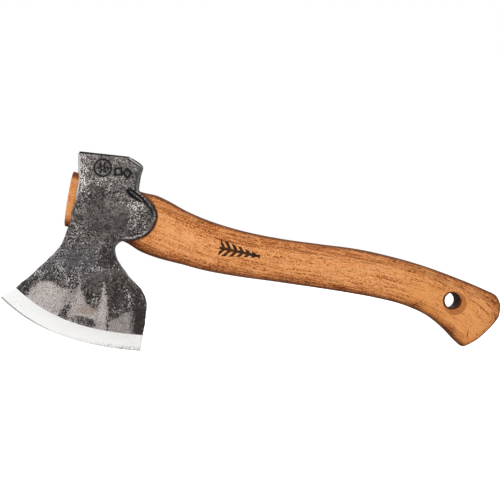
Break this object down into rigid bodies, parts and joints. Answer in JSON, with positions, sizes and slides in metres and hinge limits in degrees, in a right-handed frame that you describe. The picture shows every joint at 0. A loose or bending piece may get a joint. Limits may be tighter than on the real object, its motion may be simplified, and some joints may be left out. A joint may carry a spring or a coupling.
{
  "type": "carving hatchet",
  "caption": "Small bearded carving hatchet: forged steel head with side lobes on a curved wooden handle with a swelled knob and a lanyard hole.",
  "frame": {"origin": "middle of the bounding box's bottom, with the heel of the cutting edge and the toe of the knob both on z = 0", "axes": "+X from the head towards the knob, +Z from the cutting edge up to the poll, Y across the thickness"},
  "size_m": [0.3874, 0.032, 0.1546],
  "materials": {
    "forged_steel": "dark forge scale with light speckle, ground patches on the cheeks and a bright satin bevel",
    "hickory": "oiled hickory, long straight grain, satin",
    "wedge_wood": "plain sawn wood, end cut flush",
    "wedge_steel": "plain steel, dull"
  },
  "bodies": {
    "root": {"axe_head": "forged_steel", "handle": "hickory", "eye_wedge": "wedge_wood", "steel_wedge": "wedge_steel"}
  },
  "joints": []
}
